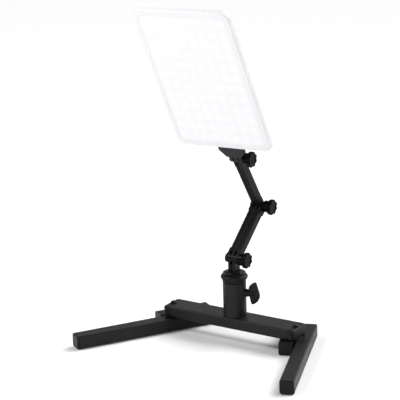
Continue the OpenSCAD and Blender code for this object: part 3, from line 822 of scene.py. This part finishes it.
@dataclass
class SocketTube:
    """The tube on the beam with its collar, and the clamp with its wing knob."""

    tube_r: float = 17.75
    bore: float = 14.03
    sleeve_r: float = 15.7
    sleeve_l: float = 34.0
    collar_h: float = 12.2
    ring_r: float = 20.6
    ring_round: float = 4.2
    knob_start: float = 20.45
    wing_x: float = 30.85
    wing_half_t: float = 3.4
    tip_cut: float = 0.8
    wing_half_h: float = 17.9
    screw_r: float = 4.0
    screw_start: float = 14.2
    screw_l: float = 17.0
    screw_pitch: float = 1.25

    def collar_grid(self) -> np.ndarray:
        """The collar turned about the tube's axis: skirt, groove, rolled ring and flat top.

        Returns:
            A grid of points in metres.
        """
        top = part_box("tube_collar")[1].z / MM
        tube_top = top - self.collar_h
        skirt = self.tube_r + 0.25
        a = np.linspace(-0.62 * np.pi, np.pi / 2 - 0.25, 22)
        roll = np.stack(
            [
                self.ring_r - self.ring_round + self.ring_round * np.cos(a),
                tube_top + 8 + self.ring_round * np.sin(a),
            ],
            -1,
        )
        start = [
            [self.bore, tube_top - self.sleeve_l],
            [self.sleeve_r, tube_top - self.sleeve_l],
            [self.sleeve_r, tube_top + 0.05],
            [skirt - 0.9, tube_top + 0.05],
            [skirt - 0.9, tube_top + 1.1],
            [skirt - 0.2, tube_top + 1.2],
            [skirt, tube_top + 1.5],
            [skirt, tube_top + 3.6],
            [skirt - 0.3, tube_top + 4.2],
            [skirt - 1.1, tube_top + 4.35],
        ]
        end = [
            [self.ring_r - self.ring_round + 0.6, top],
            [self.bore + 0.3, top],
            [self.bore, top - 0.3],
        ]
        return turned(np.concatenate([start, roll, end]), 128) * MM

    def clamp_seat(self) -> Seat:
        """The clamp's frame: first axis outwards, third axis up."""
        x = joint_axis("clamp_turn")
        return Seat.facing(joint_at("clamp_turn"), x, np.cross([0, 0, 1], x))

    def wing_grid(self) -> np.ndarray:
        """The wing: its outline shrunk towards its middle as it bulges to either side.

        At angle a from -90 to 90 degrees the outline is scaled by cos(a)^0.3 and moved
        sideways by the half thickness times sin(a), drawn out to a flat by a power of 0.8.

        Returns:
            A grid of clamp-frame points in millimetres.
        """
        h = self.wing_half_h
        corners = np.array([
            [2.4, h], [-1.5, h * 0.93], [-7.2, h * 0.68], [-8.9, h * 0.35], [-9.1, h * 0.1],
            [-7.4, -h * 0.3], [-5.9, -h * 0.64], [-4.6, -h * 0.93], [-2.6, -h],
            [1.5, -h * 0.9], [5.6, -h * 0.7], [8.4, -h * 0.42], [9.1, -h * 0.17],
            [8.0, h * 0.15], [6.1, h * 0.46], [4.0, h * 0.88],
        ])
        gaps = np.linalg.norm(np.roll(corners, -1, 0) - corners, axis=1)
        cuts = 0.5 * np.minimum(gaps, np.roll(gaps, 1))
        cuts[[0, 8]] = self.tip_cut
        outline = eased(corners, cuts, closed=True, steps=8)
        a = np.linspace(-np.pi / 2, np.pi / 2, 25)
        scale = np.maximum(np.cos(a), 0) ** 0.3
        side = self.wing_half_t * np.sign(np.sin(a)) * np.abs(np.sin(a)) ** 0.8
        ring = outline * scale[:, None, None]
        y = np.broadcast_to(side[:, None], ring.shape[:2])
        return np.stack([ring[..., 0] + self.wing_x, y, ring[..., 1]], axis=-1)

    def hub_grid(self) -> np.ndarray:
        """The wing's hub, turned about the screw: a flange, then a waisted neck.

        Returns:
            A grid of turned points in millimetres, with the screw's axis third.
        """
        s = self.knob_start
        tip = self.wing_x + 2
        corners = [[0, s], [5.8, s], [5.8, s + 2], [5.2, s + 2.4], [4.9, tip], [0, tip + 0.6]]
        return turned(eased(corners, [0, 0.5, 0.3, 0.3, 1.2, 0], closed=False), 56)

    def build(self, fitter: Fitter) -> None:
        """Makes the tube, its collar, the boss, the screw and the wing knob.

        Args:
            fitter: Dresses each piece and fixes it to its body.
        """
        fitter.ease("socket_tube", 0.3)
        fitter.ease("tube_bolt", 0.25)
        fitter.ease("tube_washer", 0.2)
        fitter.ease("pivot_washers", 0.1)
        fitter.ease("clamp_boss", 0.4)
        collar = form("tube_collar_turned", [self.collar_grid()], wrap_rows=True)
        flats_stay_flat(collar)
        fitter.fit(collar, ["tube_collar"])
        seat = self.clamp_seat()
        on_screw = Seat.on_axis(seat.origin, seat.axes[0])
        knob = form(
            "clamp_knob_wing", [seat.place(self.wing_grid()), on_screw.place(self.hub_grid())]
        )
        fitter.fit(knob, ["clamp_knob"], "fibre_nylon")
        screw_end = self.screw_start + self.screw_l
        rod = Thread(self.screw_r, self.screw_start, screw_end, self.screw_pitch)
        fitter.fit(rod.form("clamp_screw_threaded", on_screw), ["clamp_screw"])


@dataclass(frozen=True)
class Thread:
    """A threaded rod along its seat's third axis."""

    radius: float
    start: float
    end: float
    pitch: float

    def grid(self) -> np.ndarray:
        """Radius r - d |2 frac(h / p - a / 2 pi) - 1|, with d the depth and p the pitch.

        Returns:
            A grid of points in millimetres.
        """
        rows = int((self.end - self.start) / self.pitch * 6)
        height = np.linspace(self.start, self.end, rows)[:, None]
        angle = np.linspace(0, 2 * np.pi, 28, endpoint=False)[None, :]
        turn = height / self.pitch - angle / (2 * np.pi)
        groove = np.abs(2 * (turn - np.floor(turn)) - 1)
        taper = np.clip(np.minimum(height - self.start, self.end - height) / 0.6, 0, 1)
        radius = self.radius - 0.5 * self.pitch * 0.6 * groove - 0.4 * (1 - taper)
        return np.stack(
            [radius * np.cos(angle), radius * np.sin(angle), height + 0 * angle], axis=-1
        )

    def form(self, name: str, seat: Seat) -> bpy.types.Object:
        """Makes the rod on its seat."""
        return form(name, [seat.place(self.grid())])


@dataclass
class ThumbKnob:
    """A joint's knob: a plain hub with a lobed rim at its outer end, on its screw."""

    joint: str
    start: float = 11.03
    hub_r: float = 9.0
    hub_l: float = 9.0
    rim_r: float = 12.0
    rim_l: float = 6.0
    lobes: int = 8
    scallop_r: float = 4.8
    scallop_at: float = 15.2
    recess_r: float = 6.5
    recess_t: float = 1.0
    screw_r: float = 2.5
    screw_start: float = -11.5
    screw_end: float = 21.0
    screw_pitch: float = 0.8
    blend_power: float = 60.0
    around: int = 192

    def lobed(self, angle: np.ndarray) -> np.ndarray:
        """Radius of the rim at each angle, with its scallops blended in.

        A scallop is a circle whose centre lies outside the rim, d from the axis: its near
        side is at d cos a - sqrt(s^2 - d^2 sin^2 a). Rim and scallop are blended by
        (r^-p + q^-p)^(-1/p).

        Args:
            angle: Angles about the axis.

        Returns:
            The radius in millimetres at each angle.
        """
        step = 2 * np.pi / self.lobes
        off = (angle + step / 2) % step - step / 2
        inside = self.scallop_r**2 - (self.scallop_at * np.sin(off)) ** 2
        near = self.scallop_at * np.cos(off) - np.sqrt(np.maximum(inside, 0))
        near = np.where(inside > 0, near, 2 * self.rim_r)
        power = self.blend_power
        return (self.rim_r**-power + near**-power) ** (-1 / power)

    def grid(self) -> np.ndarray:
        """The knob turned about its screw, its rim drawn in where the scallops are.

        Returns:
            A grid of points in millimetres, with the screw's axis third.
        """
        rim = self.start + self.hub_l
        end = rim + self.rim_l
        bore = self.screw_r + 0.02
        corners = [
            [0, rim + 1.5], [bore, rim + 1.5], [bore, self.start], [self.hub_r, self.start],
            [self.hub_r, rim - 0.2], [self.rim_r - 0.4, rim], [self.rim_r, rim + 0.5],
            [self.rim_r, end], [self.recess_r + 1.4, end],
            [self.recess_r, end - self.recess_t],
            [0, end - self.recess_t],
        ]
        cuts = [0, 0.2, 0.3, 0.7, 0.9, 0.4, 0.4, 1.6, 0.6, 0.5, 0]
        profile = eased(corners, cuts, closed=False, steps=9)
        points = turned(profile, self.around)
        angle = np.linspace(0, 2 * np.pi, self.around, endpoint=False)
        radius, height = profile[:, 0], profile[:, 1]
        share = np.clip((radius - self.recess_r) / (self.rim_r - self.recess_r - 0.5), 0, 1)
        share = share * share * (3 - 2 * share)
        on_rim = np.clip((height - rim - 0.3) / 0.5, 0, 1)
        drawn = (self.rim_r - self.lobed(angle))[None, :] * (share * on_rim)[:, None]
        kept = (radius[:, None] - drawn) / np.maximum(radius[:, None], 1e-6)
        points[..., :2] *= np.where(radius[:, None] > 1e-6, kept, 1)[..., None]
        return points

    def build(self, fitter: Fitter) -> None:
        """Makes the knob, its screw, the washer under it and the nut at the far side.

        Args:
            fitter: Dresses each piece and fixes it to its body.
        """
        seat = Seat.on_axis(joint_at(f"{self.joint}_hinge"), [1, 0, 0])
        knob = form(f"{self.joint}_knob_lobed", [seat.place(self.grid())])
        flats_stay_flat(knob)
        fitter.fit(knob, [f"{self.joint}_knob"])
        rod = Thread(self.screw_r, self.screw_start, self.screw_end, self.screw_pitch)
        fitter.fit(rod.form(f"{self.joint}_screw_threaded", seat), [f"{self.joint}_screw"])
        fitter.ease(f"{self.joint}_washer", 0.25)
        fitter.ease(f"{self.joint}_nut", 0.25)


@dataclass
class FoldingArm:
    """Post, lower arm, upper arm and head bracket."""

    ease_mm: float = 0.55

    def build(self, fitter: Fitter) -> None:
        """Makes the arm's mouldings and the knobs that clamp its joints.

        Args:
            fitter: Dresses each piece and fixes it to its body.
        """
        for node in ("swivel_post", "lower_arm", "upper_arm", "head_bracket"):
            fitter.ease(node, self.ease_mm)
        for joint in ("shoulder", "elbow", "head"):
            ThumbKnob(joint).build(fitter)


@dataclass
class LightPanel:
    """The panel: front frame, diffuser and everything between and behind them."""

    width: float = 166.0
    height: float = 240.0
    corner_r: float = 14.0
    bezel: float = 10.0
    window_r: float = 7.0
    front_t: float = 5.0
    ease: float = 2.5
    wall: float = 1.8
    middle: float = 100.0
    play: float = 0.05
    pitch: float = 18.2
    columns: int = 8
    rows: int = 12

    def seat(self) -> Seat:
        """The panel's frame: origin on the swivel axis in the front face, second axis back."""
        back, x = joint_axis("panel_swivel"), joint_axis("switch_rock")
        mesh = frame["nodes"]["front_frame"].data
        flat = np.empty(len(mesh.vertices) * 3, np.float32)
        mesh.vertices.foreach_get("co", flat)
        face = (flat.reshape(-1, 3) @ back).min()
        origin = joint_at("panel_swivel")
        return Seat.facing(origin + back * (face - origin @ back), x, back)

    def carried(self, section: np.ndarray) -> np.ndarray:
        """A section carried round the panel's outline.

        A section point lies so far in from the outer edge and so far behind the face. The
        corner radius falls with the inset, from the panel's own to the window's.

        Args:
            section: Inset and depth in millimetres, one row each.

        Returns:
            A grid of panel-frame points in millimetres, section by outline.
        """
        inset, depth = section[:, 0], section[:, 1]
        share = np.clip((inset - self.ease) / (self.bezel - self.ease), 0, 1)
        outer_r = self.corner_r - np.minimum(inset, self.ease)
        radius = (1 - share) * outer_r + share * self.window_r
        ring = rounded_outline(self.width / 2 - inset, self.height / 2 - inset, radius, steps=16)
        y = np.broadcast_to(depth[:, None], ring.shape[:2])
        return np.stack([ring[..., 0], y, ring[..., 1] + self.middle], axis=-1)

    def frame_section(self) -> np.ndarray:
        """The front frame's section: rounded rim, flat border, window edge, hollow back."""
        a = np.linspace(0, np.pi / 2, 10)
        rim = np.stack([self.ease * (1 - np.cos(a)), self.ease * (1 - np.sin(a))], -1)
        rest = [
            [self.bezel - 0.6, 0.0], [self.bezel - 0.15, 0.12], [self.bezel, 0.5],
            [self.bezel, 2.0], [self.wall, 2.0], [self.wall, self.front_t], [0.2, self.front_t],
            [0.0, self.front_t - 0.2],
        ]
        return np.concatenate([rim, rest])

    def diffuser_grid(self) -> np.ndarray:
        """The opal plate: a narrow round at its front edge, and its lip behind the border.

        Returns:
            A grid of panel-frame points in millimetres.
        """
        edge, behind = self.bezel + self.play, self.bezel - 2.0
        section = np.array([
            [edge + 0.6, 0.15], [edge + 0.1, 0.2], [edge, 0.3], [edge, 2.05],
            [behind, 2.05], [behind, 3.5],
        ])
        return self.carried(section)

    def count_leds(self, piece: bpy.types.Object, seat: Seat) -> None:
        """Writes the UV map that counts LEDs across and up the plate.

        Args:
            piece: The diffuser.
            seat: The panel's frame.
        """
        mesh = piece.data
        flat = np.empty(len(mesh.vertices) * 3, np.float32)
        mesh.vertices.foreach_get("co", flat)
        local = (flat.reshape(-1, 3) - seat.origin) @ seat.axes.T / MM
        u = local[:, 0] / self.pitch + self.columns / 2
        v = (local[:, 2] - self.middle) / self.pitch + self.rows / 2
        corner = np.empty(len(mesh.loops), np.int32)
        mesh.loops.foreach_get("vertex_index", corner)
        layer = mesh.uv_layers.new(name="leds")
        pairs = np.stack([u[corner], v[corner]], -1).astype(np.float32)
        layer.data.foreach_set("uv", pairs.ravel())

    def build(self, fitter: Fitter) -> None:
        """Makes the panel's pieces.

        Args:
            fitter: Dresses each piece and fixes it to its body.
        """
        seat = self.seat()
        rim = form("front_frame_moulding", [seat.place(self.carried(self.frame_section()))], True)
        flats_stay_flat(rim)
        fitter.fit(rim, ["front_frame"])
        plate = form("diffuser_plate", [seat.place(self.diffuser_grid())])
        self.count_leds(plate, seat)
        flats_stay_flat(plate)
        fitter.fit(plate, ["diffuser"])
        fitter.ease("rear_shell", 0.25, limit_deg=60)
        fitter.ease("shell_screws", 0.12)
        fitter.ease("control_housing", 0.6)
        fitter.ease("dimmer_knob", 0.25)
        fitter.ease("switch_body", 0.3)
        fitter.ease("switch_rocker", 0.3)
        fitter.ease("dc_jack", 0.25)
        fitter.ease("panel_bolt_nut", 0.3)
        fitter.ease("panel_bolt_washers", 0.2)
        fitter.ease("panel_bolt", 0.2)
        for node in ("led_board", "led_array", "driver_board", "dimmer_pot"):
            fitter.keep(node)


# ---------- camera, floor and light ----------


@dataclass
class Studio:
    """A pale floor, soft light and the camera."""

    eye: tuple[float, float, float] = (1.4239, -2.2316, 1.0134)
    right: tuple[float, float, float] = (0.8375, 0.5457, -0.0288)
    ahead: tuple[float, float, float] = (-0.5300, 0.7982, -0.2864)
    lens: float = 166.8
    floor_r: float = 40.0
    sun: float = 3.5
    sun_spread_deg: float = 50.0
    horizon: float = 0.8
    zenith: float = 0.12
    key: float = 13.0
    fill: float = 6.0

    def camera(self) -> None:
        """Sets up the camera from its eye point and its three directions."""
        data = bpy.data.cameras.new("camera")
        data.lens, data.sensor_width = self.lens, 36.0
        data.clip_end = 2 * self.floor_r
        camera = bpy.data.objects.new("camera", data)
        right, ahead = unit(self.right), unit(self.ahead)
        up = unit(np.cross(right, ahead))
        right = np.cross(ahead, up)
        turn = np.eye(4)
        turn[:3, 0], turn[:3, 1], turn[:3, 2], turn[:3, 3] = right, up, -ahead, self.eye
        camera.matrix_world = Matrix(turn.tolist())
        bpy.context.scene.collection.objects.link(camera)
        bpy.context.scene.camera = camera

    def floor(self) -> None:
        """A wide round floor: rings of points at radius r, from the middle outwards."""
        radius = np.array([0.001, 0.5, 1, 2, 4, 8, 16, self.floor_r])
        angle = np.linspace(0, 2 * np.pi, 96, endpoint=False)
        grid = np.stack(
            [radius[:, None] * np.cos(angle), radius[:, None] * np.sin(angle),
             np.zeros((len(radius), len(angle)))], -1,
        )
        mesh = bpy.data.meshes.new("floor")
        faces = grid_faces(len(radius), len(angle), False).tolist()
        mesh.from_pydata(grid.reshape(-1, 3).tolist(), [], faces + [list(range(len(angle)))])
        floor = bpy.data.objects.new("floor", mesh)
        bpy.context.scene.collection.objects.link(floor)
        paper = Finish("studio_paper", "", "#F4F4F4", "#F6F6F6", 0.9, 0.02,
                       Grain.SPARKED, 40.0, 0.0, specular=0.0)
        mesh.materials.append(paper.build())

    def softbox(
        self,
        name: str,
        at: tuple[float, float, float],
        aim: tuple[float, float, float],
        size: tuple[float, float],
        power: float,
    ) -> None:
        """A rectangular area light.

        Args:
            name: Name of the light.
            at: Where it stands, in metres.
            aim: The point that it faces.
            size: Its width and height.
            power: Its power in watts.
        """
        data = bpy.data.lights.new(name, "AREA")
        data.shape, data.size, data.size_y, data.energy = "RECTANGLE", *size, power
        light = bpy.data.objects.new(name, data)
        seat = Seat.on_axis(at, np.array(at, float) - np.array(aim, float))
        turn = np.eye(4)
        turn[:3, :3], turn[:3, 3] = seat.axes.T, at
        light.matrix_world = Matrix(turn.tolist())
        bpy.context.scene.collection.objects.link(light)

    def light(self) -> None:
        """A sky that darkens overhead, a soft sun from behind, a key and a fill softbox."""
        world = bpy.data.worlds.new("sky")
        world.use_nodes = True
        bpy.context.scene.world = world
        tree = world.node_tree
        around = add_node(tree, "ShaderNodeTexCoord").outputs["Generated"]
        height = add_node(tree, "ShaderNodeSeparateXYZ", links={0: around})
        fade = add_node(
            tree,
            "ShaderNodeMapRange",
            {"interpolation_type": "SMOOTHSTEP", "From Min": 0.15, "From Max": 0.75,
             "To Min": self.horizon, "To Max": self.zenith},
            {"Value": height.outputs["Z"]},
        )
        background = tree.nodes["Background"]
        background.inputs["Color"].default_value = linear("#F4F4F5")
        tree.links.new(fade.outputs["Result"], background.inputs["Strength"])
        data = bpy.data.lights.new("back_sun", "SUN")
        data.energy, data.angle = self.sun, math.radians(self.sun_spread_deg)
        sun = bpy.data.objects.new("back_sun", data)
        seat = Seat.on_axis((0, 0, 1), (0.4, 0.6, 0.75))
        turn = np.eye(4)
        turn[:3, :3] = seat.axes.T
        sun.matrix_world = Matrix(turn.tolist())
        bpy.context.scene.collection.objects.link(sun)
        self.softbox("key_box", (-0.85, -0.74, 1.36), (0, 0, 0.22), (0.5, 0.5), self.key)
        self.softbox("fill_box", (0.6, -1.9, 0.5), (0, 0, 0.35), (1.4, 0.8), self.fill)

    def build(self) -> None:
        """Sets up the whole studio."""
        self.camera()
        self.floor()
        self.light()
        bpy.context.scene.view_settings.view_transform = "Standard"


def main() -> None:
    """Builds the studio and the light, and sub-assembly by sub-assembly."""
    logging.basicConfig(level=logging.INFO, format="%(name)s: %(message)s")
    Studio().build()
    fitter = Fitter(Paintshop())
    BaseBeam().build(fitter)
    FoldingLeg("left", -121.6).build(fitter)
    FoldingLeg("right", -68.5).build(fitter)
    SocketTube().build(fitter)
    FoldingArm().build(fitter)
    LightPanel().build(fitter)
    fitter.keep("tube_plug")
    LOG.info("boxes written")


if __name__ == "__main__":
    main()
